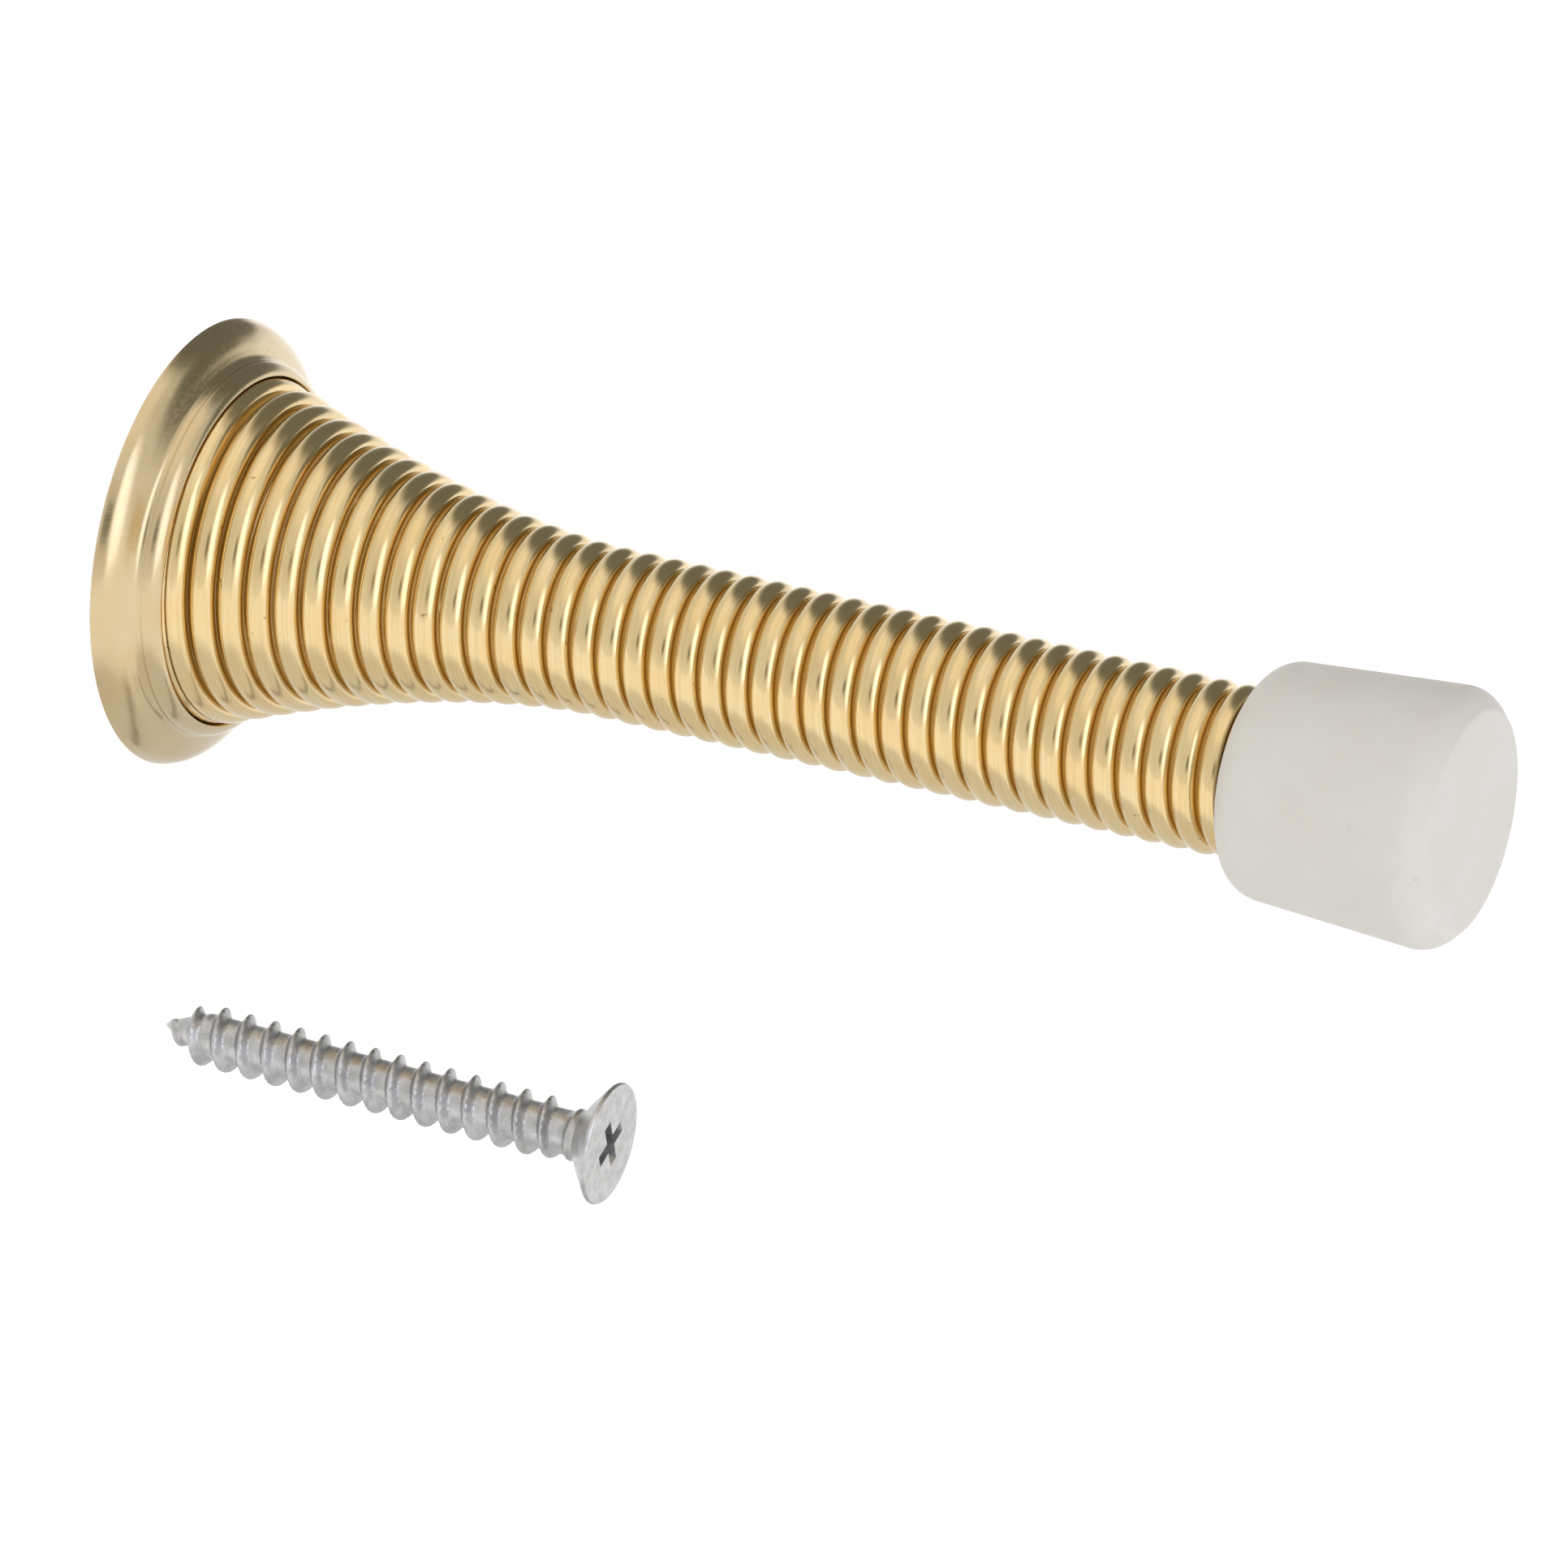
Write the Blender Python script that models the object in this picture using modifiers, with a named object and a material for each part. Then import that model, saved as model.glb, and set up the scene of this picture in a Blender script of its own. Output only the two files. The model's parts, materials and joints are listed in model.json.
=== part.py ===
"""Spring door stop: a stamped base flange, a close-wound flared wire spring, a moulded tip cap and the wall screw.

The stop's axis is +X, from the wall to the tip, and +Z is up. The origin is the centre of the base where it meets
the wall. The spring is one wire. It is cut into lengths of one and a quarter turns, so that each cut comes a quarter
turn after the last and the spring can bend at the cuts, up and down at one and sideways at the next.
"""

import math

import bmesh
import bpy
from mathutils import Vector

MM = 0.001

# Base flange, a brass-plated stamping. Heights are measured from the wall.
SHEET = 0.8 * MM
RIM_RADIUS = 13.05 * MM
RIM_HEIGHT = 0.35 * MM
RIM_EDGE = 0.22 * MM
LIP_RADIUS = 10.55 * MM
LIP_HEIGHT = 3.1 * MM
SKIRT_POWER = 1.6
POCKET_RADIUS = 10.25 * MM
POCKET_FLOOR = 2.0 * MM
HUB_FOOT_RADIUS = 8.0 * MM
HUB_TOP_RADIUS = 7.2 * MM
HUB_HEIGHT = 7.0 * MM
HUB_ROUND = 0.7 * MM
HOLE_RADIUS = 1.95 * MM
COUNTERSINK_RADIUS = 3.65 * MM
COUNTERSINK_HALF_ANGLE = math.radians(41)

# Spring. The wire's pitch is measured along the flare's slope, so that the turns stay equally close all the way.
WIRE_RADIUS = 0.72 * MM
WIRE_PITCH = 1.613 * MM
TUBE_RADIUS = 4.87 * MM
SEAT_RADIUS = 10.1 * MM
FLARE_START = 3.0 * MM
FLARE_END = 26.4 * MM
FLARE_WIDTH = 10.19 * MM
FLARE_POWER = 1.7
WIRE_START_ANGLE = math.radians(34)
WIRE_START_X = 2.8 * MM
WIRE_END_ANGLE = math.radians(360 * 44 + 90)
FIRST_CUT_ANGLE = math.radians(810)
LENGTH_ANGLE = math.radians(450)
LENGTH_COUNT = 29
CUT_GAP = 0.3 * MM
POINTS_PER_TURN = 16
MARCH_STEPS_PER_TURN = 144

# Tip cap, moulded in soft vinyl. It is a cup over the spring's last turns.
STOP_LENGTH = 79.4 * MM
CAP_MOUTH = 66.3 * MM
CAP_MOUTH_RADIUS = 6.73 * MM
CAP_END_RADIUS = 7.38 * MM
CAP_MOUTH_ROUND = 2.0 * MM
CAP_END_ROUND = 1.8 * MM
CAP_BORE_RADIUS = 4.99 * MM
CAP_BORE_FLOOR = 75.2 * MM
CAP_LEAD_IN = 0.35 * MM

# Wall screw, lying loose below the stop with its point to the wall. Depths are measured from the head's face.
SCREW_LENGTH = 28.55 * MM
SCREW_HEAD_RADIUS = 3.6 * MM
SCREW_HEAD_EDGE = 0.2 * MM
SCREW_NECK_RADIUS = 1.6 * MM
SCREW_CREST_RADIUS = 1.82 * MM
SCREW_ROOT_RADIUS = 1.28 * MM
SCREW_PITCH = 1.592 * MM
SCREW_FIRST_CREST = 4.1 * MM
SCREW_CREST_COUNT = 15
SCREW_POINT_LENGTH = 2.9 * MM
SCREW_HEAD_CENTRE = Vector((28.8, -5.0, -29.85)) * MM
SCREW_TILT = math.radians(3)
SCREW_YAW = math.radians(2.3)
RECESS_DEPTH = 1.9 * MM
RECESS_SPAN = 3.6 * MM
RECESS_FLOOR_SPAN = 1.6 * MM
RECESS_WIDTH = 0.85 * MM

FLANGE_SEGMENTS = 40
CAP_SEGMENTS = 32
SCREW_SEGMENTS = 16
MERGE_DISTANCE = 0.001 * MM

BRASS = ((0.83, 0.62, 0.30, 1.0), 1.0, 0.16)
VINYL = ((0.80, 0.77, 0.73, 1.0), 0.0, 0.5)
ZINC = ((0.72, 0.72, 0.73, 1.0), 1.0, 0.32)


def clear_scene():
    for obj in list(bpy.data.objects):
        bpy.data.objects.remove(obj, do_unlink=True)


def make_collection(name):
    collection = bpy.data.collections.new(name)
    bpy.context.scene.collection.children.link(collection)
    return collection


def make_material(name, look):
    colour, metallic, roughness = look
    material = bpy.data.materials.new(name)
    material.use_nodes = True
    shader = material.node_tree.nodes["Principled BSDF"]
    shader.inputs["Base Color"].default_value = colour
    shader.inputs["Metallic"].default_value = metallic
    shader.inputs["Roughness"].default_value = roughness
    material.diffuse_color = colour
    return material


def arc(centre_radius, centre_height, radius, start, end, steps):
    """Points (radius, height) on an arc, with angles in degrees from the outward direction."""
    points = []
    for i in range(steps + 1):
        angle = math.radians(start + (end - start) * i / steps)
        points.append((centre_radius + radius * math.cos(angle), centre_height + radius * math.sin(angle)))
    return points


def turned(name, profile, closed, segments, material, collection):
    """A solid turned about its local Z from a profile of (radius, height) that runs down its outer side."""
    mesh = bpy.data.meshes.new(name)
    edges = [(i, i + 1) for i in range(len(profile) - 1)]
    if closed:
        edges.append((len(profile) - 1, 0))
    mesh.from_pydata([(radius, 0, height) for radius, height in profile], edges, [])
    obj = bpy.data.objects.new(name, mesh)
    obj.data.materials.append(material)
    collection.objects.link(obj)
    screw = obj.modifiers.new("turn", "SCREW")
    screw.axis = "Z"
    screw.steps = segments
    screw.render_steps = segments
    screw.use_merge_vertices = True
    screw.merge_threshold = MERGE_DISTANCE
    screw.use_smooth_shade = True
    return obj


def lay_along_x(obj, tilt=0.0, yaw=0.0):
    """Turns a piece made about local Z so that its local Z points along +X, tipped down and swung to +Y."""
    obj.rotation_euler = (0, math.radians(90) + tilt, yaw)


# ---------------------------------------------------------------- base flange


def flange_skirt(steps):
    """The hollow curve from the lip, out and down to the rim."""
    lip_foot = LIP_HEIGHT - 0.15 * MM
    points = []
    for i in range(steps + 1):
        share = i / steps
        radius = LIP_RADIUS + (RIM_RADIUS - LIP_RADIUS) * share**SKIRT_POWER
        points.append((radius, lip_foot + (RIM_HEIGHT - lip_foot) * share))
    return points


def flange_front():
    countersink_depth = (COUNTERSINK_RADIUS - HOLE_RADIUS) / math.tan(COUNTERSINK_HALF_ANGLE)
    profile = [(HOLE_RADIUS, HUB_HEIGHT - countersink_depth), (COUNTERSINK_RADIUS, HUB_HEIGHT)]
    profile += arc(HUB_TOP_RADIUS - HUB_ROUND, HUB_HEIGHT - HUB_ROUND, HUB_ROUND, 90, 0, 3)
    profile += [(HUB_FOOT_RADIUS, POCKET_FLOOR), (POCKET_RADIUS, POCKET_FLOOR)]
    profile += [(POCKET_RADIUS, LIP_HEIGHT - 0.1 * MM), (POCKET_RADIUS + 0.1 * MM, LIP_HEIGHT)]
    profile += [(LIP_RADIUS - 0.08 * MM, LIP_HEIGHT)]
    profile += flange_skirt(8)
    profile += [(RIM_RADIUS, RIM_EDGE), (RIM_RADIUS - RIM_EDGE, 0)]
    return profile


def flange_back():
    """The hollow side, one sheet's thickness behind the front, back to the screw hole."""
    floor_back = POCKET_FLOOR - SHEET
    plate_back = HUB_HEIGHT - SHEET
    slope = math.tan(COUNTERSINK_HALF_ANGLE)
    wall_offset = SHEET / math.cos(COUNTERSINK_HALF_ANGLE)
    dimple_depth = (COUNTERSINK_RADIUS - HOLE_RADIUS) / slope + 0.7 * MM
    dimple_back = HUB_HEIGHT - dimple_depth
    cone_at_plate = COUNTERSINK_RADIUS + wall_offset - SHEET * slope
    cone_at_end = COUNTERSINK_RADIUS + wall_offset - dimple_depth * slope
    return [
        (RIM_RADIUS - SHEET, 0),
        (RIM_RADIUS - SHEET, 0.5 * MM),
        (LIP_RADIUS + 0.3 * MM, floor_back),
        (HUB_FOOT_RADIUS - SHEET, floor_back),
        (HUB_TOP_RADIUS - SHEET, plate_back - 0.4 * MM),
        (HUB_TOP_RADIUS - SHEET - 0.4 * MM, plate_back),
        (cone_at_plate, plate_back),
        (cone_at_end, dimple_back),
        (HOLE_RADIUS, dimple_back),
    ]


def make_flange(collection, material):
    profile = flange_front() + flange_back()
    flange = turned("base_flange", profile, True, FLANGE_SEGMENTS, material, collection)
    lay_along_x(flange)
    return flange


# ---------------------------------------------------------------- spring


def coil_radius(x):
    """Radius of the wire's centre line where the spring has reached x."""
    if x >= FLARE_END:
        return TUBE_RADIUS - WIRE_RADIUS
    share = (FLARE_END - x) / (FLARE_END - FLARE_START)
    outer = TUBE_RADIUS + (FLARE_WIDTH - TUBE_RADIUS) * share**FLARE_POWER
    return min(outer, SEAT_RADIUS) - WIRE_RADIUS


def march_wire():
    """x of the wire's centre at equal steps of angle, each step one share of the pitch along the slope."""
    step = WIRE_PITCH / MARCH_STEPS_PER_TURN
    turns = (WIRE_END_ANGLE - WIRE_START_ANGLE) / math.tau
    places = [WIRE_START_X]
    for _ in range(math.ceil(turns * MARCH_STEPS_PER_TURN) + 1):
        x = places[-1]
        slope = (coil_radius(x + step) - coil_radius(x)) / step
        places.append(x + step / math.hypot(1, slope))
    return places


WIRE_PLACES = march_wire()


def wire_centre(angle):
    """The wire's centre at an angle about +X, counted from +Y towards +Z and on through every turn."""
    place = (angle - WIRE_START_ANGLE) / math.tau * MARCH_STEPS_PER_TURN
    whole = min(int(place), len(WIRE_PLACES) - 2)
    x = WIRE_PLACES[whole] + (WIRE_PLACES[whole + 1] - WIRE_PLACES[whole]) * (place - whole)
    radius = coil_radius(x)
    return Vector((x, radius * math.cos(angle), radius * math.sin(angle)))


def cut_angle(number):
    return FIRST_CUT_ANGLE + LENGTH_ANGLE * number


def wire_length(name, start, end, origin, parent, material, collection):
    """One length of the wire as a tube, with its origin at the cut that it turns about."""
    spacing = math.tau / POINTS_PER_TURN
    first = math.floor(start / spacing + 0.5) + 1
    last = math.ceil(end / spacing - 0.5) - 1
    angles = [start] + [spacing * i for i in range(first, last + 1)] + [end]
    curve = bpy.data.curves.new(name, "CURVE")
    curve.dimensions = "3D"
    curve.bevel_depth = WIRE_RADIUS
    curve.bevel_resolution = 2
    curve.use_fill_caps = True
    spline = curve.splines.new("POLY")
    spline.points.add(len(angles) - 1)
    for point, angle in zip(spline.points, angles):
        point.co = (*(wire_centre(angle) - origin), 1)
    spline.use_smooth = True
    curve.materials.append(material)
    obj = bpy.data.objects.new(name, curve)
    collection.objects.link(obj)
    if parent:
        obj.parent = parent
        obj.location = origin - parent.matrix_world.translation
    else:
        obj.location = origin
    bpy.context.view_layer.update()
    return obj


def make_spring(collection, material):
    """The turns that grip the hub, then the lengths that bend, then the turns inside the cap, each on the last."""
    trim = CUT_GAP / 2
    end = cut_angle(0)
    end -= trim / coil_radius(wire_centre(end).x)
    seat = Vector((WIRE_START_X, 0, 0))
    piece = wire_length("spring_base_turns", WIRE_START_ANGLE, end, seat, None, material, collection)
    for number in range(LENGTH_COUNT):
        hinge = wire_centre(cut_angle(number))
        start = cut_angle(number) + trim / coil_radius(hinge.x)
        end = cut_angle(number + 1)
        end -= trim / coil_radius(wire_centre(end).x)
        name = f"spring_wire_{number + 1:02d}"
        piece = wire_length(name, start, end, hinge, piece, material, collection)
    hinge = wire_centre(cut_angle(LENGTH_COUNT))
    start = cut_angle(LENGTH_COUNT) + trim / coil_radius(hinge.x)
    return wire_length("spring_tip_turns", start, WIRE_END_ANGLE, hinge, piece, material, collection)


# ---------------------------------------------------------------- tip cap


def make_cap(collection, material, parent):
    """A cup with a rounded mouth and a flat, round-edged face. Heights are measured from its mouth."""
    length = STOP_LENGTH - CAP_MOUTH
    taper = (CAP_END_RADIUS - CAP_MOUTH_RADIUS) / (length - CAP_MOUTH_ROUND - CAP_END_ROUND)
    lean = math.degrees(math.atan(taper))
    profile = [(0, length)]
    profile += arc(CAP_END_RADIUS - CAP_END_ROUND, length - CAP_END_ROUND, CAP_END_ROUND, 90, -lean, 6)
    profile += arc(CAP_MOUTH_RADIUS - CAP_MOUTH_ROUND, CAP_MOUTH_ROUND, CAP_MOUTH_ROUND, -lean, -72, 6)
    profile += [(CAP_BORE_RADIUS + CAP_LEAD_IN, 0), (CAP_BORE_RADIUS, CAP_LEAD_IN)]
    profile += [(CAP_BORE_RADIUS, CAP_BORE_FLOOR - CAP_MOUTH), (0, CAP_BORE_FLOOR - CAP_MOUTH)]
    cap = turned("tip_cap", profile, False, CAP_SEGMENTS, material, collection)
    lay_along_x(cap)
    cap.parent = parent
    cap.location = Vector((CAP_MOUTH, 0, 0)) - parent.matrix_world.translation
    return cap


# ---------------------------------------------------------------- wall screw


def thread_radius(depth, full):
    """A thread's radius at a depth from the head, drawn in to nothing over the point."""
    left = SCREW_LENGTH - depth
    return full * min(1.0, 0.12 + 0.88 * left / SCREW_POINT_LENGTH)


def screw_profile():
    head_depth = SCREW_HEAD_EDGE + (SCREW_HEAD_RADIUS - SCREW_NECK_RADIUS) / math.tan(COUNTERSINK_HALF_ANGLE)
    profile = [(0, 0), (SCREW_HEAD_RADIUS - 0.1 * MM, 0), (SCREW_HEAD_RADIUS, -0.1 * MM)]
    profile += [(SCREW_HEAD_RADIUS, -SCREW_HEAD_EDGE), (SCREW_NECK_RADIUS, -head_depth)]
    profile += [(SCREW_NECK_RADIUS, -head_depth - 0.4 * MM)]
    for number in range(SCREW_CREST_COUNT):
        crest = SCREW_FIRST_CREST + SCREW_PITCH * number
        above = crest - 0.26 * SCREW_PITCH
        below = crest + 0.26 * SCREW_PITCH
        profile.append((thread_radius(above, SCREW_ROOT_RADIUS), -above))
        profile.append((thread_radius(crest, SCREW_CREST_RADIUS), -crest))
        profile.append((thread_radius(below, SCREW_ROOT_RADIUS), -below))
    profile.append((0, -SCREW_LENGTH))
    return profile


def recess_cutter(name, quarter, collection, parent):
    """One slot of the cross recess: a bar that narrows along its length towards the floor."""
    mesh = bpy.data.meshes.new(name)
    shape = bmesh.new()
    bmesh.ops.create_cube(shape, size=1.0)
    for vertex in shape.verts:
        at_floor = vertex.co.z < 0
        span = RECESS_FLOOR_SPAN if at_floor else RECESS_SPAN
        width = RECESS_WIDTH * (0.7 if at_floor else 1.0)
        height = -RECESS_DEPTH if at_floor else 0.3 * MM
        vertex.co = (vertex.co.x * span, vertex.co.y * width, height)
    shape.to_mesh(mesh)
    shape.free()
    cutter = bpy.data.objects.new(name, mesh)
    collection.objects.link(cutter)
    cutter.parent = parent
    cutter.rotation_euler = (0, 0, math.radians(20 + 90 * quarter))
    cutter.hide_render = True
    cutter.display_type = "WIRE"
    return cutter


def make_screw(collection, cutters, material):
    screw = turned("wall_screw", screw_profile(), False, SCREW_SEGMENTS, material, collection)
    lay_along_x(screw, SCREW_TILT, SCREW_YAW)
    screw.location = SCREW_HEAD_CENTRE
    for quarter in range(2):
        cut = screw.modifiers.new(f"recess_{quarter}", "BOOLEAN")
        cut.operation = "DIFFERENCE"
        cut.solver = "EXACT"
        cut.object = recess_cutter(f"recess_cutter_{quarter}", quarter, cutters, screw)
    return screw


def main():
    clear_scene()
    parts = make_collection("spring_door_stop")
    cutters = make_collection("cutters")
    brass = make_material("polished_brass", BRASS)
    vinyl = make_material("soft_vinyl", VINYL)
    zinc = make_material("zinc_plate", ZINC)
    make_flange(parts, brass)
    tip_turns = make_spring(parts, brass)
    make_cap(parts, vinyl, tip_turns)
    make_screw(parts, cutters, zinc)


main()
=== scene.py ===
"""Looks of a spring door stop: stamped brass flange, brass-plated spring, vinyl tip cap and zinc wood screw.

The stop's axis is +X, from the wall to the tip, and +Z is up. Sizes are in millimetres until a mesh is made.
The spring is one wire, made in the CAD's lengths. Each hinge runs through the wire where two lengths meet,
so they stay joined there at every pose.
"""

import json
import math

import bmesh
import bpy
import numpy as np
from mathutils import Euler, Matrix, Vector


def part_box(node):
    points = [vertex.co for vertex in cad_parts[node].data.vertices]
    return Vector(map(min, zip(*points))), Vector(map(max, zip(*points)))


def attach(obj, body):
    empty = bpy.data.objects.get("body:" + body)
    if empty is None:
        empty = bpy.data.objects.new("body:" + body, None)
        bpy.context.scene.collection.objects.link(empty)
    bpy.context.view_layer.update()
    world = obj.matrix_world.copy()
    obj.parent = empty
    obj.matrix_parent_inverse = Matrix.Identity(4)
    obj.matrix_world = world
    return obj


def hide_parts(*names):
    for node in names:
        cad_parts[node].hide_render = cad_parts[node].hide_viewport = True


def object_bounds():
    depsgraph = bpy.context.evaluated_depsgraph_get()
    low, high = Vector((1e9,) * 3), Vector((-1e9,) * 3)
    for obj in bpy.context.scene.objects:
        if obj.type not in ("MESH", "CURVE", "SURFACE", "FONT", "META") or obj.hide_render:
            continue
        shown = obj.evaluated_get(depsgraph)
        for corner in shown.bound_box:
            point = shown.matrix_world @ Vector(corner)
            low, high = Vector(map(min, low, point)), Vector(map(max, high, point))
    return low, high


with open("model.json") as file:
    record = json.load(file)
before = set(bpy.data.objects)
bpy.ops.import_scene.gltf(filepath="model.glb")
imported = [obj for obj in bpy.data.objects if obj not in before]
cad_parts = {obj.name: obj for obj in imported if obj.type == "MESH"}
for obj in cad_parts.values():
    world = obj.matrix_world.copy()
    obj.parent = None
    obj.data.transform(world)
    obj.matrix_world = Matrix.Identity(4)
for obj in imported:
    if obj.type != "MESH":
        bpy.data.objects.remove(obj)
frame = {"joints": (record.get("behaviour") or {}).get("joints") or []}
CAD_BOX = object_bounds()

MM = 0.001
TAU = math.tau

# Wire's path, as in the CAD source
CAD_WIRE_RADIUS = 0.72
WIRE_RADIUS = 0.8
WIRE_FLATTENING = 7.5
WIRE_PITCH = 1.613
TUBE_RADIUS = 4.87
SEAT_RADIUS = 10.1
FLARE_START = 3.0
FLARE_END = 26.4
FLARE_WIDTH = 10.19
FLARE_POWER = 1.7
WIRE_START_ANGLE = math.radians(34)
WIRE_START_X = 2.8
SEAT_TAIL = math.radians(290)
WIRE_END_ANGLE = math.radians(360 * 44 + 90)
FIRST_HINGE_ANGLE = math.radians(810)
LENGTH_ANGLE = math.radians(450)
MARCH_STEPS_PER_TURN = 144
RINGS_PER_TURN = 72
WIRE_SIDES = 28
CUT_CHAMFER = 0.12
PLUG_INSET = 0.03
PLUG_REACH = 0.06
SLOPE_STEP = 0.01
TANGENT_STEP = 0.02
TEXTURE_REPEAT = 997

# Flange, as (radius, height above the wall)
RIM_RADIUS = 13.05
LIP_RADIUS = 10.95
LIP_HEIGHT = 3.1
LIP_CURVE = ((10.5, 2.98), (10.78, 2.72), (LIP_RADIUS, 2.38), (10.96, 2.05), (11.12, 1.8))
SKIRT = ((11.45, 1.62), (11.95, 1.38), (12.42, 1.08), (12.78, 0.72), (13.0, 0.3))
POCKET_RADIUS = 10.14
POCKET_FLOOR = 2.0
HUB_FOOT_RADIUS = 8.0
HUB_TOP_RADIUS = 7.2
HUB_HEIGHT = 7.0
SHEET = 0.8
HOLE_RADIUS = 1.95
COUNTERSINK_RADIUS = 3.65
COUNTERSINK_HALF_ANGLE = math.radians(41)
FLANGE_SEGMENTS = 256

# Cap
CAP_MOUTH_RADIUS = 6.73
CAP_END_RADIUS = 7.38
CAP_MOUTH_ROUND = 2.0
CAP_END_ROUND = 1.78
CAP_BORE_RADIUS = 4.91
CAP_BORE_FLOOR = 75.2
CAP_ROUNDED_LENGTH = 4
CAP_SEGMENTS = 160

# Screw, as depths below the head's face
HEAD_RADIUS = 3.6
HEAD_EDGE = 0.22
NECK_RADIUS = 1.5
NECK_DEPTH = 1.75
RING_DEPTH = 2.2
THREAD_START = 2.75
SCREW_LENGTH = 28.55
CREST_RADIUS = 1.84
ROOT_RADIUS = 1.3
THREAD_PITCH = 1.613
FIRST_CREST = 3.2
POINT_LENGTH = 2.7
CREST_HALF_WIDTH = 0.045
FLANK_WIDTH = 0.23
FLANK_POWER = 1.15
THREAD_RUN_IN = 0.9
THREAD_RUN_OUT = 1.6
THREAD_ROWS_PER_PITCH = 22
SCREW_SEGMENTS = 64
RECESS_SPAN = 3.3
RECESS_WIDTH = 0.82
RECESS_FLOOR_SPAN = 1.3
RECESS_FLOOR_WIDTH = 0.55
RECESS_DEPTH = 1.9
RECESS_TURN = 20

# Camera
CAMERA_AIM = Vector((39.1, -3.4, -5.2)) * MM
CAMERA_AZIMUTH = math.radians(26.86)
CAMERA_ELEVATION = math.radians(26.66)
CAMERA_DISTANCE = 625 * MM
CAMERA_LENS = 256.7

# Studio, in metres and as directions seen from the object
FLOOR_DROP = 0.25
FLOOR_SIZE = 14.0
FLOOR_GLOW_START = 0.26
FLOOR_GLOW_END = 0.40
REAR_CEILING = (0.10, 0.86, 0.50)
REAR_CORNER = (0.62, 0.76, 0.16)
CAMERA_SIDE = (0.404, -0.797, 0.40)
SOFTBOX = (0.896, -0.387, 0.12)
ROOM = (0.86, 0.86, 0.85, 1)
HORIZON = (0.95, 0.95, 0.95, 1)
OVERHEAD = (1.12, 1.08, 1.04, 1)
REAR_DIM = (0.19, 0.195, 0.185, 1)
CAMERA_DIM = (0.22, 0.22, 0.20, 1)
SOFTBOX_LIGHT = (1.9, 2.0, 2.3, 1)

# Colours
FLANGE_WARM = (0.61, 0.465, 0.25, 1)
FLANGE_PALE = (0.63, 0.50, 0.295, 1)
WIRE_WARM = (0.78, 0.575, 0.27, 1)
WIRE_PALE = (0.78, 0.615, 0.325, 1)
WIRE_STREAK = (0.53, 0.37, 0.17, 1)
GROOVE_GLOW = (0.55, 0.37, 0.10, 1)
BRASS_TARNISH = (0.42, 0.27, 0.10, 1)
VINYL_DULL = (0.65, 0.62, 0.565, 1)
VINYL_PALE = (0.665, 0.645, 0.595, 1)
VINYL_FLECK = (0.63, 0.585, 0.52, 1)
ZINC_DARK = (0.44, 0.435, 0.43, 1)
ZINC_PALE = (0.60, 0.595, 0.59, 1)


# ---------------------------------------------------------------- meshes


def mesh_piece(name, vertices, faces, sharp=40.0):
    """A smooth mesh from points in millimetres."""
    mesh = bpy.data.meshes.new(name)
    mesh.from_pydata([Vector(v) * MM for v in vertices], [], faces)
    shape = bmesh.new()
    shape.from_mesh(mesh)
    bmesh.ops.recalc_face_normals(shape, faces=shape.faces)
    shape.to_mesh(mesh)
    shape.free()
    finish_mesh(mesh, sharp)
    obj = bpy.data.objects.new(name, mesh)
    bpy.context.scene.collection.objects.link(obj)
    return obj


def finish_mesh(mesh, sharp):
    """Smooth shading, and the points at rest kept as an attribute for the textures."""
    mesh.shade_smooth()
    mesh.set_sharp_from_angle(angle=math.radians(sharp))
    place = mesh.attributes.new("place", "FLOAT_VECTOR", "POINT")
    place.data.foreach_set("vector", [c / MM for v in mesh.vertices for c in v.co])


def fillet(points, radius, steps=5):
    """The same outline with each corner between its ends rounded off."""
    out = [points[0]]
    for before, corner, after in zip(points, points[1:], points[2:]):
        a, c, b = Vector(before), Vector(corner), Vector(after)
        reach = min(radius, (a - c).length * 0.45, (b - c).length * 0.45)
        start = c + (a - c).normalized() * reach
        end = c + (b - c).normalized() * reach
        for i in range(steps + 1):
            t = i / steps
            out.append(tuple(start * (1 - t) ** 2 + c * 2 * t * (1 - t) + end * t**2))
    return out + [points[-1]]


def smooth_curve(points, steps):
    """A curve through all the points, with some steps between each two."""
    padded = [points[0], *points, points[-1]]
    out = []
    for a, b, c, d in zip(padded, padded[1:], padded[2:], padded[3:]):
        a, b, c, d = (Vector(p) for p in (a, b, c, d))
        for i in range(steps):
            t = i / steps
            point = 2 * b + (c - a) * t
            point = point + (2 * a - 5 * b + 4 * c - d) * t**2
            point = point + (3 * (b - c) + d - a) * t**3
            out.append(tuple(0.5 * point))
    return out + [points[-1]]


def arc(centre_radius, centre_height, radius, start, end, steps):
    """Points (radius, height) on an arc, with angles in degrees from the outward direction."""
    angles = np.radians(np.linspace(start, end, steps + 1))
    return [(centre_radius + radius * math.cos(a), centre_height + radius * math.sin(a)) for a in angles]


def turned(name, outline, segments, closed=False, sharp=40.0):
    """A solid turned about +X from an outline of (radius, height). A radius of 0 is a pole."""
    vertices, rings = [], []
    for radius, height in outline:
        if radius < 1e-6:
            rings.append([len(vertices)] * segments)
            vertices.append((height, 0, 0))
        else:
            rings.append(list(range(len(vertices), len(vertices) + segments)))
            for i in range(segments):
                turn = TAU * i / segments
                vertices.append((height, radius * math.cos(turn), radius * math.sin(turn)))
    pairs = list(zip(rings, rings[1:]))
    if closed:
        pairs.append((rings[-1], rings[0]))
    faces = []
    for lower, upper in pairs:
        for i in range(segments):
            j = (i + 1) % segments
            corners = [lower[i], lower[j], upper[j], upper[i]]
            face = [v for k, v in enumerate(corners) if v != corners[k - 1]]
            if len(face) > 2:
                faces.append(face)
    return mesh_piece(name, vertices, faces, sharp)


# ---------------------------------------------------------------- nodes


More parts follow.
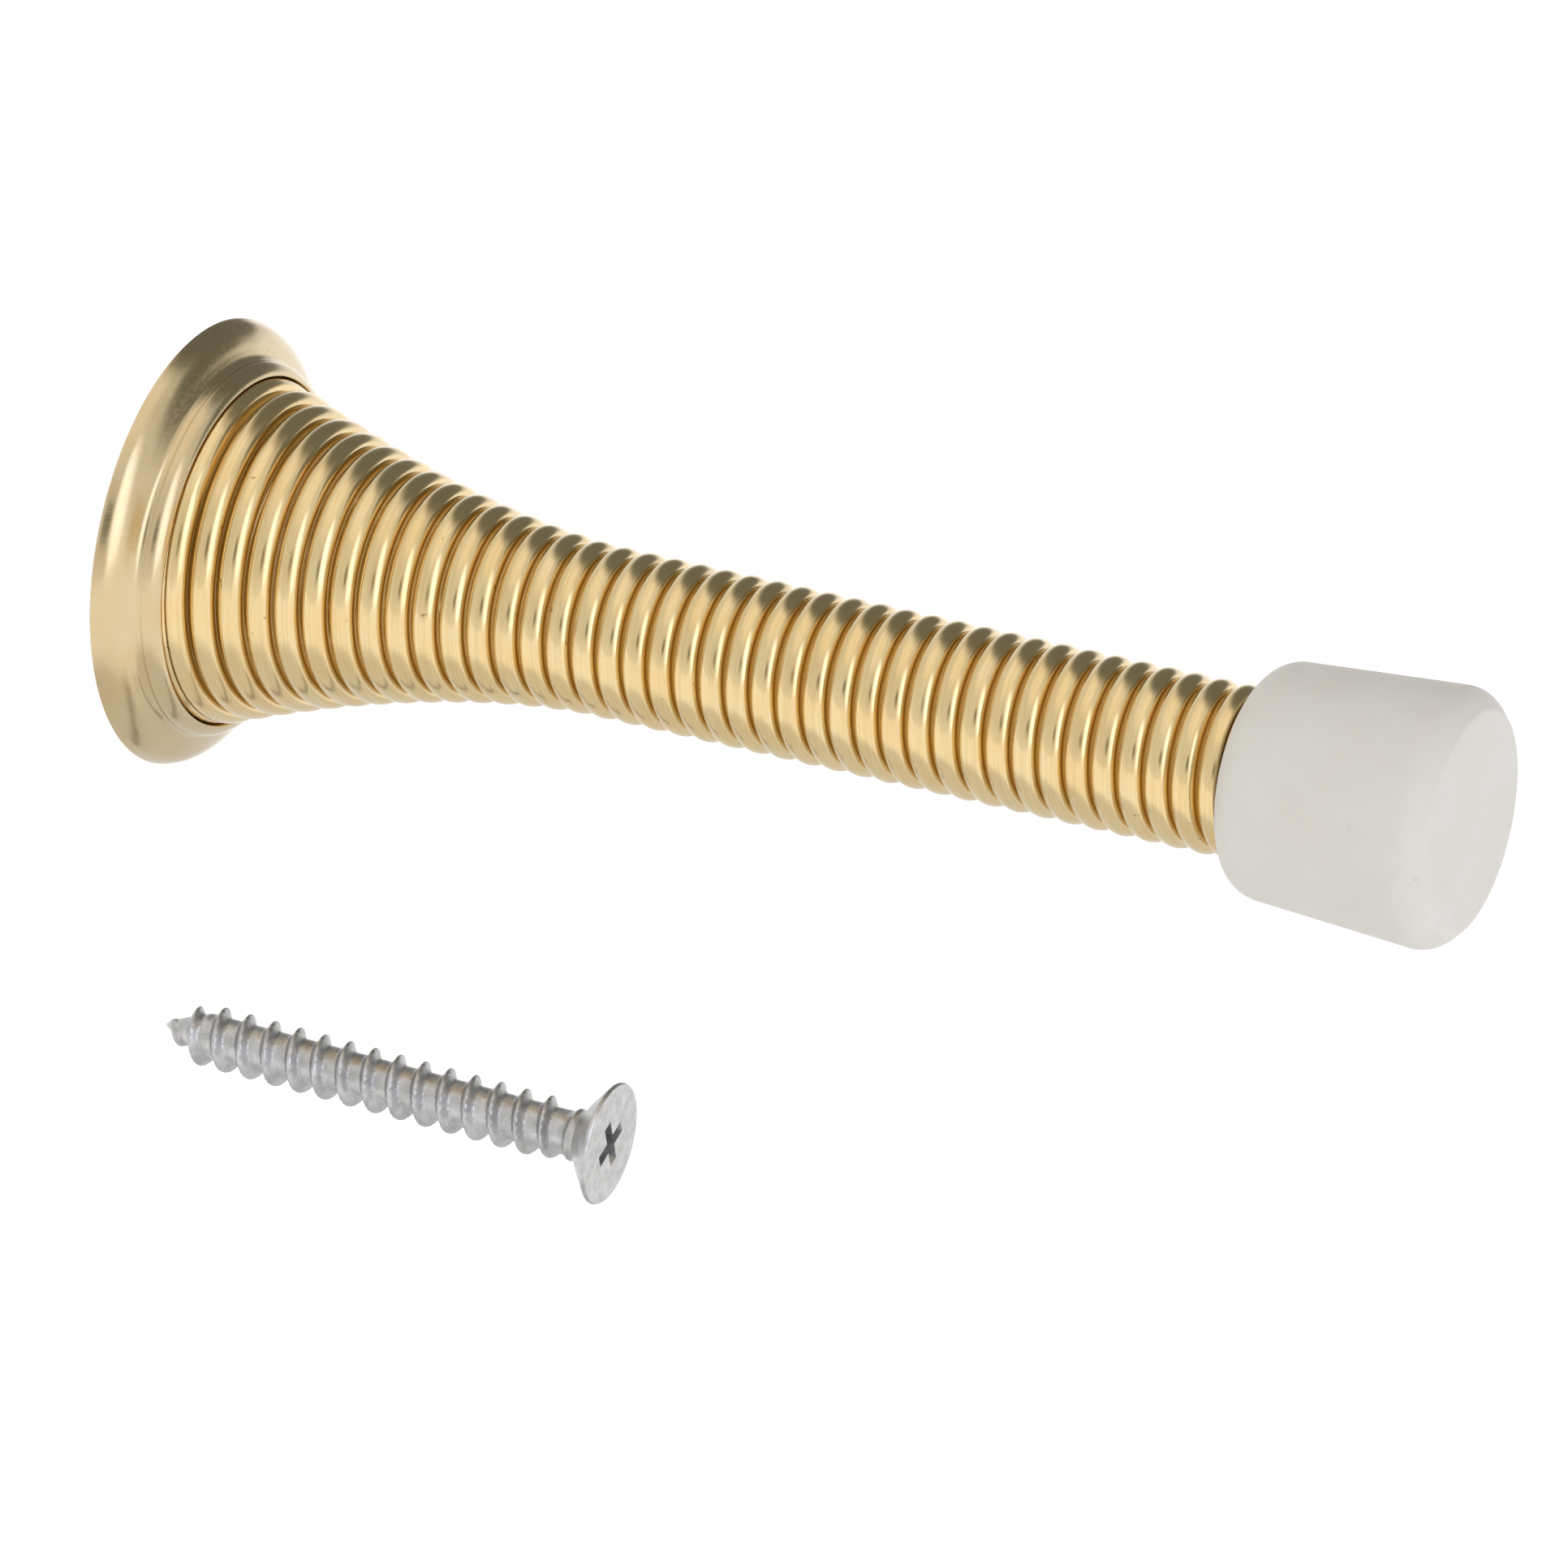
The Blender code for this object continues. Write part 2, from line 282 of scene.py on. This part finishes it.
def node(tree, kind, inputs=None, **settings):
    """A shader node. Each input is a plain value, or another node's output to link."""
    made = tree.nodes.new(kind)
    for key, value in settings.items():
        setattr(made, key, value)
    for key, value in (inputs or {}).items():
        if isinstance(value, bpy.types.NodeSocket):
            tree.links.new(value, made.inputs[key])
        else:
            made.inputs[key].default_value = value
    return made


def math_node(tree, operation, a, b):
    return node(tree, "ShaderNodeMath", {0: a, 1: b}, operation=operation).outputs[0]


def smooth_range(tree, value, low, high, to_low=0.0, to_high=1.0):
    inputs = {"Value": value, "From Min": low, "From Max": high, "To Min": to_low, "To Max": to_high}
    return node(tree, "ShaderNodeMapRange", inputs, interpolation_type="SMOOTHSTEP").outputs[0]


def mix_colour(tree, share, a, b):
    """Colour a, towards colour b by a share. Inputs 6 and 7 and output 2 are the node's colour sockets."""
    return node(tree, "ShaderNodeMix", {0: share, 6: a, 7: b}, data_type="RGBA").outputs[2]


def noise(tree, place, scale, detail=2.0, roughness=0.5, stretch=None):
    """Noise over the piece's own points at rest. The scale is per millimetre."""
    if stretch:
        place = node(tree, "ShaderNodeVectorMath", {0: place, 1: stretch}, operation="MULTIPLY").outputs[0]
    inputs = {"Vector": place, "Scale": scale, "Detail": detail, "Roughness": roughness}
    return node(tree, "ShaderNodeTexNoise", inputs).outputs["Fac"]


def rest_place(tree, attribute="place"):
    return node(tree, "ShaderNodeAttribute", attribute_name=attribute).outputs["Vector"]


def bump(tree, height, distance, normal=None):
    """Relief of up to some millimetres, on top of another relief if there is one."""
    inputs = {"Height": height, "Distance": distance * MM, "Strength": 1.0}
    if normal:
        inputs["Normal"] = normal
    return node(tree, "ShaderNodeBump", inputs).outputs["Normal"]


def new_material(name):
    material = bpy.data.materials.new(name)
    material.use_nodes = True
    return material, material.node_tree, material.node_tree.nodes["Principled BSDF"]


def link(tree, shader, **sockets):
    """Links each node output to the shader's input of that name, written with _ for a space."""
    for name, socket in sockets.items():
        tree.links.new(socket, shader.inputs[name.replace("_", " ")])


# ---------------------------------------------------------------- materials


def brass_colour(tree, place, speck_share, warm, pale):
    """Plating that varies in tone over millimetres, with a few small dark specks."""
    tone = smooth_range(tree, noise(tree, place, 0.35, 3.0, 0.6), 0.3, 0.7)
    colour = mix_colour(tree, tone, warm, pale)
    speck = smooth_range(tree, noise(tree, place, 1.7, 1.0), speck_share, speck_share + 0.05)
    return mix_colour(tree, speck, colour, BRASS_TARNISH)


def flange_brass():
    """Polished plating on a stamping: soft waves, hairline scratches, fine grain and a few specks."""
    material, tree, shader = new_material("polished_brass_stamping")
    place = rest_place(tree)
    waves = noise(tree, place, 0.16, 2.0, 0.55)
    scratches = noise(tree, place, 2.2, 4.0, 0.7, (0.35, 1.0, 3.4))
    grain = noise(tree, place, 11.0, 2.0, 0.6)
    roughness = smooth_range(tree, scratches, 0.35, 0.75, 0.17, 0.27)
    normal = bump(tree, waves, 0.09)
    normal = bump(tree, scratches, 0.0022, normal=normal)
    normal = bump(tree, grain, 0.0006, normal=normal)
    shader.inputs["Metallic"].default_value = 1.0
    shader.inputs["Coat Weight"].default_value = 0.6
    shader.inputs["Coat Roughness"].default_value = 0.12
    colour = brass_colour(tree, place, 0.77, FLANGE_WARM, FLANGE_PALE)
    link(tree, shader, Base_Color=colour, Roughness=roughness, Normal=normal)
    return material


def spring_brass():
    """Plated wire: faint lines from drawing, uneven plating, a few specks.

    A faint glow on its sides stands in for the light that bounces between the turns.
    """
    material, tree, shader = new_material("polished_brass_wire")
    place = rest_place(tree)
    wire = rest_place(tree, "wire")
    drawing = noise(tree, wire, 2.6, 3.0, 0.65, (0.06, 2.0, 2.0))
    ripple = noise(tree, wire, 0.42, 2.0, 0.5)
    grain = noise(tree, place, 9.0, 2.0, 0.6)
    roughness = smooth_range(tree, drawing, 0.3, 0.75, 0.14, 0.26)
    normal = bump(tree, drawing, 0.006)
    normal = bump(tree, ripple, 0.03, normal=normal)
    normal = bump(tree, grain, 0.001, normal=normal)
    shader.inputs["Metallic"].default_value = 1.0
    shader.inputs["Coat Weight"].default_value = 0.6
    shader.inputs["Coat Roughness"].default_value = 0.15
    streak = smooth_range(tree, drawing, 0.35, 0.7, 0.0, 0.3)
    colour = brass_colour(tree, place, 0.76, WIRE_WARM, WIRE_PALE)
    colour = mix_colour(tree, streak, colour, WIRE_STREAK)
    outward = node(tree, "ShaderNodeSeparateXYZ", {0: wire}).outputs["Y"]
    glow = smooth_range(tree, outward, -0.1, 0.42, 0.20, 0.0)
    shader.inputs["Emission Color"].default_value = GROOVE_GLOW
    link(tree, shader, Base_Color=colour, Roughness=roughness, Normal=normal, Emission_Strength=glow)
    return material


def cap_vinyl():
    """Soft off-white vinyl: cloudy tone, a fine moulded grain, a few flecks, and light in its skin."""
    material, tree, shader = new_material("soft_vinyl")
    place = rest_place(tree)
    cloud = smooth_range(tree, noise(tree, place, 0.22, 3.0, 0.55), 0.3, 0.7)
    colour = mix_colour(tree, cloud, VINYL_DULL, VINYL_PALE)
    fleck = smooth_range(tree, noise(tree, place, 1.25, 1.0), 0.765, 0.80)
    colour = mix_colour(tree, fleck, colour, VINYL_FLECK)
    grain = noise(tree, place, 6.5, 3.0, 0.6)
    swell = noise(tree, place, 0.3, 2.0, 0.5)
    normal = bump(tree, swell, 0.05)
    normal = bump(tree, grain, 0.006, normal=normal)
    normal = bump(tree, fleck, 0.02, normal=normal)
    shader.inputs["Specular IOR Level"].default_value = 0.35
    shader.inputs["Subsurface Weight"].default_value = 0.35
    shader.inputs["Subsurface Radius"].default_value = (1.0, 0.9, 0.75)
    shader.inputs["Subsurface Scale"].default_value = 0.9 * MM
    roughness = smooth_range(tree, grain, 0.3, 0.7, 0.46, 0.58)
    link(tree, shader, Base_Color=colour, Roughness=roughness, Normal=normal)
    return material


def screw_zinc():
    """Zinc plate: a satin grey with crystalline mottling and a fine grain."""
    material, tree, shader = new_material("zinc_plate")
    place = rest_place(tree)
    mottle = smooth_range(tree, noise(tree, place, 1.1, 4.0, 0.65), 0.3, 0.7)
    colour = mix_colour(tree, mottle, ZINC_DARK, ZINC_PALE)
    grain = noise(tree, place, 7.0, 3.0, 0.6)
    normal = bump(tree, mottle, 0.012)
    normal = bump(tree, grain, 0.004, normal=normal)
    shader.inputs["Metallic"].default_value = 1.0
    roughness = smooth_range(tree, grain, 0.3, 0.7, 0.32, 0.48)
    link(tree, shader, Base_Color=colour, Roughness=roughness, Normal=normal)
    return material


def dress(piece, material):
    piece.data.materials.clear()
    piece.data.materials.append(material)


# ---------------------------------------------------------------- flange


def flange_outline():
    """Once round the stamping's section: front from the hole to the rim, then back along its hollow side."""
    cone_depth = (COUNTERSINK_RADIUS - HOLE_RADIUS) / math.tan(COUNTERSINK_HALF_ANGLE)
    front = [(HOLE_RADIUS, HUB_HEIGHT - cone_depth), (COUNTERSINK_RADIUS, HUB_HEIGHT)]
    front += [(HUB_TOP_RADIUS, HUB_HEIGHT), (HUB_FOOT_RADIUS, POCKET_FLOOR)]
    front += [(POCKET_RADIUS, POCKET_FLOOR), (POCKET_RADIUS, LIP_HEIGHT - 0.15)]
    front = fillet(front, 0.7, 7)
    front += smooth_curve([(POCKET_RADIUS + 0.1, LIP_HEIGHT), *LIP_CURVE, *SKIRT, (RIM_RADIUS, 0.12)], 8)
    front += [(RIM_RADIUS - 0.12, 0)]
    plate = HUB_HEIGHT - SHEET
    floor = POCKET_FLOOR - SHEET
    dimple = HUB_HEIGHT - cone_depth - SHEET
    hollow = [(RIM_RADIUS - 0.7, 0), (RIM_RADIUS - 0.8, 0.5), (LIP_RADIUS + 0.3, floor)]
    hollow += [(HUB_FOOT_RADIUS - SHEET, floor), (HUB_TOP_RADIUS - SHEET, plate)]
    hollow += [(COUNTERSINK_RADIUS + 0.4, plate), (HOLE_RADIUS + 0.45, dimple), (HOLE_RADIUS, dimple)]
    return front + fillet(hollow, 0.5, 5)


def make_flange(material):
    flange = turned("flange", flange_outline(), FLANGE_SEGMENTS, closed=True, sharp=50)
    dress(flange, material)
    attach(flange, "base_flange")
    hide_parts("base_flange")


# ---------------------------------------------------------------- spring


def coil_radius(x):
    """Radius of the wire's centre line where the spring has reached x."""
    if x >= FLARE_END:
        return TUBE_RADIUS - CAD_WIRE_RADIUS
    share = (FLARE_END - x) / (FLARE_END - FLARE_START)
    outer = TUBE_RADIUS + (FLARE_WIDTH - TUBE_RADIUS) * share**FLARE_POWER
    return min(outer, SEAT_RADIUS) - CAD_WIRE_RADIUS


def march_wire():
    """x of the wire's centre at equal steps of angle, each step one share of the pitch along the slope."""
    step = WIRE_PITCH / MARCH_STEPS_PER_TURN
    turns = (WIRE_END_ANGLE - WIRE_START_ANGLE) / TAU
    places = [WIRE_START_X]
    for _ in range(math.ceil(turns * MARCH_STEPS_PER_TURN) + 2):
        x = places[-1]
        slope = (coil_radius(x + step) - coil_radius(x)) / step
        places.append(x + step / math.hypot(1, slope))
    return places


WIRE_PLACES = march_wire()


def wire_centre(angle):
    """The wire's centre at an angle about +X, counted from +Y towards +Z and on through every turn."""
    place = (angle - WIRE_START_ANGLE) / TAU * MARCH_STEPS_PER_TURN
    whole = min(max(int(place), 0), len(WIRE_PLACES) - 2)
    x = WIRE_PLACES[whole] + (WIRE_PLACES[whole + 1] - WIRE_PLACES[whole]) * (place - whole)
    x = max(x, WIRE_START_X)
    inward = outward_normal(x, angle) * (CAD_WIRE_RADIUS - WIRE_RADIUS)
    return Vector((x, coil_radius(x) * math.cos(angle), coil_radius(x) * math.sin(angle))) + inward


def outward_normal(x, angle):
    """Square to the flare, out of the spring."""
    slope = (coil_radius(x + SLOPE_STEP) - coil_radius(x - SLOPE_STEP)) / (2 * SLOPE_STEP)
    return Vector((-slope, math.cos(angle), math.sin(angle))).normalized()


def wire_section():
    """The wire's section as (outward, sideways) points, with normals. Its sides are pressed flatter."""
    section = []
    for i in range(WIRE_SIDES):
        turn = TAU * i / WIRE_SIDES
        press = (1 + abs(math.sin(turn)) ** WIRE_FLATTENING) ** (-1 / WIRE_FLATTENING)
        depth = WIRE_RADIUS if math.cos(turn) > 0 else 2 * CAD_WIRE_RADIUS - WIRE_RADIUS
        section.append((depth * math.cos(turn), WIRE_RADIUS * math.sin(turn) * press))
    normals = []
    for i, _ in enumerate(section):
        before, after = section[i - 1], section[(i + 1) % WIRE_SIDES]
        normals.append(Vector((after[1] - before[1], before[0] - after[0])).normalized())
    return list(zip(section, normals))


SECTION = wire_section()


def wire_ring(angle, inset=0.0, along=0.0):
    """Points round the wire at an angle, square to it, and the normals there. It can be a smaller ring."""
    centre = wire_centre(angle)
    tangent = (wire_centre(angle + TANGENT_STEP) - wire_centre(angle - TANGENT_STEP)).normalized()
    outward = outward_normal(centre.x, angle)
    outward = (outward - tangent * outward.dot(tangent)).normalized()
    side = tangent.cross(outward)
    points, normals = [], []
    for (out, across), normal in SECTION:
        normals.append(outward * normal.x + side * normal.y)
        points.append(centre + tangent * along + outward * out + side * across - normals[-1] * inset)
    return points, normals


def wire_piece(name, start, end, start_cut=False, end_cut=False):
    """The wire from one angle to another. A cut end has a chamfer. Any other end reaches into the next."""
    count = max(2, round((end - start) / TAU * RINGS_PER_TURN))
    angles = [start + (end - start) * i / count for i in range(count + 1)]
    rows = [(angle, *wire_ring(angle)) for angle in angles]
    if start_cut:
        rows.insert(0, (start, *wire_ring(start, CUT_CHAMFER, -CUT_CHAMFER)))
    inset, reach = (CUT_CHAMFER, CUT_CHAMFER) if end_cut else (PLUG_INSET, PLUG_REACH)
    rows.append((end, *wire_ring(end, inset, reach)))
    vertices = [p for _, ring, _ in rows for p in ring]
    faces = []
    for row in range(len(rows) - 1):
        base = row * WIRE_SIDES
        for i in range(WIRE_SIDES):
            j = (i + 1) % WIRE_SIDES
            faces.append((base + i, base + WIRE_SIDES + i, base + WIRE_SIDES + j, base + j))
    last = (len(rows) - 1) * WIRE_SIDES
    faces.append(tuple(range(WIRE_SIDES)))
    faces.append(tuple(reversed(range(last, last + WIRE_SIDES))))
    piece = mesh_piece(name, vertices, faces)
    mark_wire(piece.data, rows)
    set_wire_normals(piece.data, [n for _, _, normals in rows for n in normals])
    return piece


def mark_wire(mesh, rows):
    """Keeps each point's place along and round the wire, for the lines that drawing leaves."""
    values = []
    for angle, ring, _ in rows:
        centre = wire_centre(angle)
        length = angle * math.hypot(centre.y, centre.z) % TEXTURE_REPEAT
        for i in range(len(ring)):
            turn = TAU * i / WIRE_SIDES
            values += [length, math.cos(turn), math.sin(turn)]
    mesh.attributes.new("wire", "FLOAT_VECTOR", "POINT").data.foreach_set("vector", values)


def set_wire_normals(mesh, normals):
    """The wire's own normals right up to a piece's ends, so that no seam shows where two pieces meet."""
    corners = [None] * len(mesh.loops)
    for face in mesh.polygons:
        is_end = len(face.vertices) > 4
        for loop in face.loop_indices:
            normal = normals[mesh.loops[loop].vertex_index]
            corners[loop] = face.normal.copy() if is_end else normal
    mesh.normals_split_custom_set(corners)


def make_spring(material):
    """One piece of wire for each length in the CAD, from the base out to the tip."""
    lengths = ["spring_base_turns"]
    lengths += [j["child"] for j in frame["joints"] if j["name"].startswith("bend_")]
    ends = [FIRST_HINGE_ANGLE + LENGTH_ANGLE * k for k in range(len(lengths) - 1)]
    ends = [WIRE_START_ANGLE - SEAT_TAIL, *ends, WIRE_END_ANGLE]
    for k, length in enumerate(lengths):
        name = length.replace("spring", "coil")
        is_last = length == lengths[-1]
        piece = wire_piece(name, ends[k], ends[k + 1], start_cut=k == 0, end_cut=is_last)
        dress(piece, material)
        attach(piece, length)
        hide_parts(length)


# ---------------------------------------------------------------- cap


def cap_end_edge(end, lean):
    """The cap's front edge: tight where it leaves the face, then easier round to the side."""
    side = CAP_END_RADIUS - CAP_END_ROUND
    wide = arc(side, end - CAP_END_ROUND, CAP_END_ROUND, 52, -lean, 9)
    radius, height = wide[0]
    return [(radius - 0.62, end), (radius - 0.34, end - 0.06), (radius - 0.14, height + 0.13), *wide]


def make_cap(material):
    low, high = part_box("tip_cap")
    mouth, end = low.x / MM, high.x / MM
    side = end - mouth - CAP_ROUNDED_LENGTH
    lean = math.degrees(math.atan((CAP_END_RADIUS - CAP_MOUTH_RADIUS) / side))
    outline = [(0, end), (CAP_END_RADIUS - CAP_END_ROUND - 1.2, end)]
    outline += smooth_curve(cap_end_edge(end, lean), 6)
    centre = (CAP_MOUTH_RADIUS - CAP_MOUTH_ROUND, mouth + CAP_MOUTH_ROUND)
    outline += arc(*centre, CAP_MOUTH_ROUND, -lean, -86, 20)
    outline += arc(CAP_BORE_RADIUS + 0.25, mouth + 0.25, 0.25, -95, -180, 6)
    outline += [(CAP_BORE_RADIUS, CAP_BORE_FLOOR - 0.4), (CAP_BORE_RADIUS - 0.4, CAP_BORE_FLOOR)]
    outline += [(0, CAP_BORE_FLOOR)]
    cap = turned("cap", outline, CAP_SEGMENTS, sharp=50)
    dress(cap, material)
    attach(cap, "tip_cap")
    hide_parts("tip_cap")


# ---------------------------------------------------------------- screw


def screw_outline_radius(depth, angle):
    """The screw's radius at a depth and an angle: a sharp helical thread that runs out at the point."""
    turns = (depth - FIRST_CREST) / THREAD_PITCH + angle / TAU
    off_crest = abs(turns - round(turns))
    flank = max(0.0, 1 - max(0.0, off_crest - CREST_HALF_WIDTH) / FLANK_WIDTH)
    start = min(1.0, max(0.0, (depth - THREAD_START) / THREAD_RUN_IN))
    left = SCREW_LENGTH - depth
    point = min(1.0, max(0.0, left / POINT_LENGTH))
    root = ROOT_RADIUS * point**0.75
    crest = (CREST_RADIUS - ROOT_RADIUS) * start * min(1.0, left / THREAD_RUN_OUT)
    return root + crest * flank**FLANK_POWER


def screw_head_outline():
    """(radius, depth) from the middle of the face, over the edge and down the flare to the thread."""
    outline = [(0, 0), (1.9, 0), (HEAD_RADIUS - 0.08, 0), (HEAD_RADIUS, 0.1), (HEAD_RADIUS, HEAD_EDGE)]
    outline += [(2.45, 1.12), (NECK_RADIUS + 0.05, NECK_DEPTH), (NECK_RADIUS, RING_DEPTH - 0.2)]
    outline += [(NECK_RADIUS + 0.07, RING_DEPTH), (ROOT_RADIUS + 0.04, RING_DEPTH + 0.28)]
    outline += [(ROOT_RADIUS, THREAD_START)]
    return outline[:2] + fillet(outline[2:], 0.3, 4)


def screw_mesh_points():
    """The screw's points and faces, with its head's face at the origin and its point down."""
    outline = screw_head_outline()
    rows = [(depth, [radius] * SCREW_SEGMENTS) for radius, depth in outline[1:]]
    count = round((SCREW_LENGTH - THREAD_START) / THREAD_PITCH * THREAD_ROWS_PER_PITCH)
    for i in range(1, count):
        depth = THREAD_START + (SCREW_LENGTH - THREAD_START) * i / count
        angles = [TAU * k / SCREW_SEGMENTS for k in range(SCREW_SEGMENTS)]
        rows.append((depth, [screw_outline_radius(depth, a) for a in angles]))
    vertices = [(0, 0, 0)]
    for depth, radii in rows:
        for k, radius in enumerate(radii):
            angle = TAU * k / SCREW_SEGMENTS
            vertices.append((radius * math.cos(angle), radius * math.sin(angle), -depth))
    vertices.append((0, 0, -SCREW_LENGTH))
    faces = []
    for k in range(SCREW_SEGMENTS):
        j = (k + 1) % SCREW_SEGMENTS
        faces.append((0, 1 + k, 1 + j))
        for row in range(len(rows) - 1):
            a = 1 + row * SCREW_SEGMENTS
            b = a + SCREW_SEGMENTS
            faces.append((a + k, b + k, b + j, a + j))
        last = 1 + (len(rows) - 1) * SCREW_SEGMENTS
        faces.append((last + k, len(vertices) - 1, last + j))
    return vertices, faces


def recess_cutter():
    """The cross: two tapering bars that pass through each other."""
    shape = bmesh.new()
    for bar in range(2):
        made = bmesh.ops.create_cube(shape, size=1.0)
        for vertex in made["verts"]:
            low = vertex.co.z < 0
            span = RECESS_FLOOR_SPAN if low else RECESS_SPAN
            width = RECESS_FLOOR_WIDTH if low else RECESS_WIDTH
            vertex.co = (vertex.co.x * span, vertex.co.y * width, -RECESS_DEPTH if low else 0.35)
        turn = Matrix.Rotation(math.radians(RECESS_TURN + 90 * bar), 3, "Z")
        bmesh.ops.rotate(shape, matrix=turn, verts=made["verts"])
    bmesh.ops.scale(shape, vec=(MM, MM, MM), verts=shape.verts)
    mesh = bpy.data.meshes.new("recess_cutter")
    shape.to_mesh(mesh)
    shape.free()
    cutter = bpy.data.objects.new("recess_cutter", mesh)
    bpy.context.scene.collection.objects.link(cutter)
    return cutter


def cut_recess(screw):
    """Cuts the cross out of the head and gives the screw the new mesh."""
    cutter = recess_cutter()
    cut = screw.modifiers.new("recess", "BOOLEAN")
    cut.operation = "DIFFERENCE"
    cut.solver = "EXACT"
    cut.use_self = True
    cut.object = cutter
    bpy.context.view_layer.update()
    evaluated = screw.evaluated_get(bpy.context.evaluated_depsgraph_get())
    mesh = bpy.data.meshes.new_from_object(evaluated)
    screw.modifiers.clear()
    screw.data = mesh
    bpy.data.objects.remove(cutter)
    mesh.attributes.remove(mesh.attributes["place"])
    finish_mesh(mesh, 35)


def make_screw(material):
    """The screw, lying along the axis that its joint has in the frame."""
    joint = next(j for j in frame["joints"] if j["name"] == "screw_turn")
    axis = Vector(joint["axis"])
    turn = Euler((0, math.radians(90) - math.asin(axis.z), math.atan2(axis.y, axis.x)))
    vertices, faces = screw_mesh_points()
    screw = mesh_piece("screw", vertices, faces)
    cut_recess(screw)
    screw.data.transform(Matrix.Translation(joint["pos_m"]) @ turn.to_matrix().to_4x4())
    dress(screw, material)
    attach(screw, "wall_screw")
    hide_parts("wall_screw")


# ---------------------------------------------------------------- studio


def make_camera():
    data = bpy.data.cameras.new("camera")
    data.lens = CAMERA_LENS
    data.sensor_width = 36
    data.clip_start = 0.02
    data.clip_end = 60
    camera = bpy.data.objects.new("camera", data)
    bpy.context.scene.collection.objects.link(camera)
    flat = math.cos(CAMERA_ELEVATION)
    along, across = math.sin(CAMERA_AZIMUTH) * flat, -math.cos(CAMERA_AZIMUTH) * flat
    back = Vector((along, across, math.sin(CAMERA_ELEVATION)))
    camera.location = CAMERA_AIM + back * CAMERA_DISTANCE
    camera.rotation_euler = (-back).to_track_quat("-Z", "Y").to_euler()
    bpy.context.scene.camera = camera


def lobe(tree, direction, aim, inner, outer):
    """1 within an angle of a direction, down to 0 at a wider angle, in degrees."""
    inputs = {0: direction, 1: Vector(aim).normalized()}
    nearness = node(tree, "ShaderNodeVectorMath", inputs, operation="DOT_PRODUCT").outputs["Value"]
    return smooth_range(tree, nearness, math.cos(math.radians(outer)), math.cos(math.radians(inner)))


def make_world():
    """Studio surroundings by direction: pale room, bright horizon, dim ceiling behind, softbox in front."""
    world = bpy.data.worlds.new("studio")
    bpy.context.scene.world = world
    world.use_nodes = True
    tree = world.node_tree
    direction = node(tree, "ShaderNodeTexCoord").outputs["Generated"]
    height = node(tree, "ShaderNodeSeparateXYZ", {0: direction}).outputs["Z"]
    colour = mix_colour(tree, smooth_range(tree, height, 0.1, 0.3, 1.0, 0.0), ROOM, HORIZON)
    colour = mix_colour(tree, smooth_range(tree, height, 0.7, 0.95), colour, OVERHEAD)
    ceiling = lobe(tree, direction, REAR_CEILING, 28, 45)
    corner = lobe(tree, direction, REAR_CORNER, 20, 33)
    dim = math_node(tree, "MAXIMUM", ceiling, corner)
    dim = math_node(tree, "MULTIPLY", dim, smooth_range(tree, height, 0.01, 0.09))
    colour = mix_colour(tree, dim, colour, REAR_DIM)
    colour = mix_colour(tree, lobe(tree, direction, CAMERA_SIDE, 5, 13), colour, CAMERA_DIM)
    lower = {0: direction, 1: (1, 1, 0.4)}
    lower = node(tree, "ShaderNodeVectorMath", lower, operation="MULTIPLY").outputs[0]
    lower = node(tree, "ShaderNodeVectorMath", {0: lower}, operation="NORMALIZE").outputs[0]
    colour = mix_colour(tree, lobe(tree, lower, SOFTBOX, 6, 25), colour, SOFTBOX_LIGHT)
    background = tree.nodes["Background"]
    tree.links.new(colour, background.inputs["Color"])
    background.inputs["Strength"].default_value = 1.0


def make_floor():
    """A pale floor, with a glow far from the object that makes it look white behind it."""
    lowest = CAD_BOX[0].z - FLOOR_DROP
    material, tree, shader = new_material("pale_floor")
    shader.inputs["Base Color"].default_value = (0.9, 0.9, 0.9, 1)
    shader.inputs["Roughness"].default_value = 0.9
    shader.inputs["Specular IOR Level"].default_value = 0.0
    place = node(tree, "ShaderNodeTexCoord").outputs["Object"]
    away = node(tree, "ShaderNodeVectorMath", {0: place}, operation="LENGTH").outputs["Value"]
    shader.inputs["Emission Color"].default_value = (1, 1, 1, 1)
    glow = smooth_range(tree, away, FLOOR_GLOW_START, FLOOR_GLOW_END, 0.04, 0.44)
    link(tree, shader, Emission_Strength=glow)
    bpy.ops.mesh.primitive_plane_add(size=FLOOR_SIZE, location=(0, 0, lowest))
    floor = bpy.context.active_object
    floor.name = "floor"
    floor.data.materials.append(material)


def main():
    make_camera()
    make_world()
    make_floor()
    make_flange(flange_brass())
    make_spring(spring_brass())
    make_cap(cap_vinyl())
    make_screw(screw_zinc())
    bpy.context.scene.view_settings.view_transform = "Standard"
    bpy.context.view_layer.update()


main()
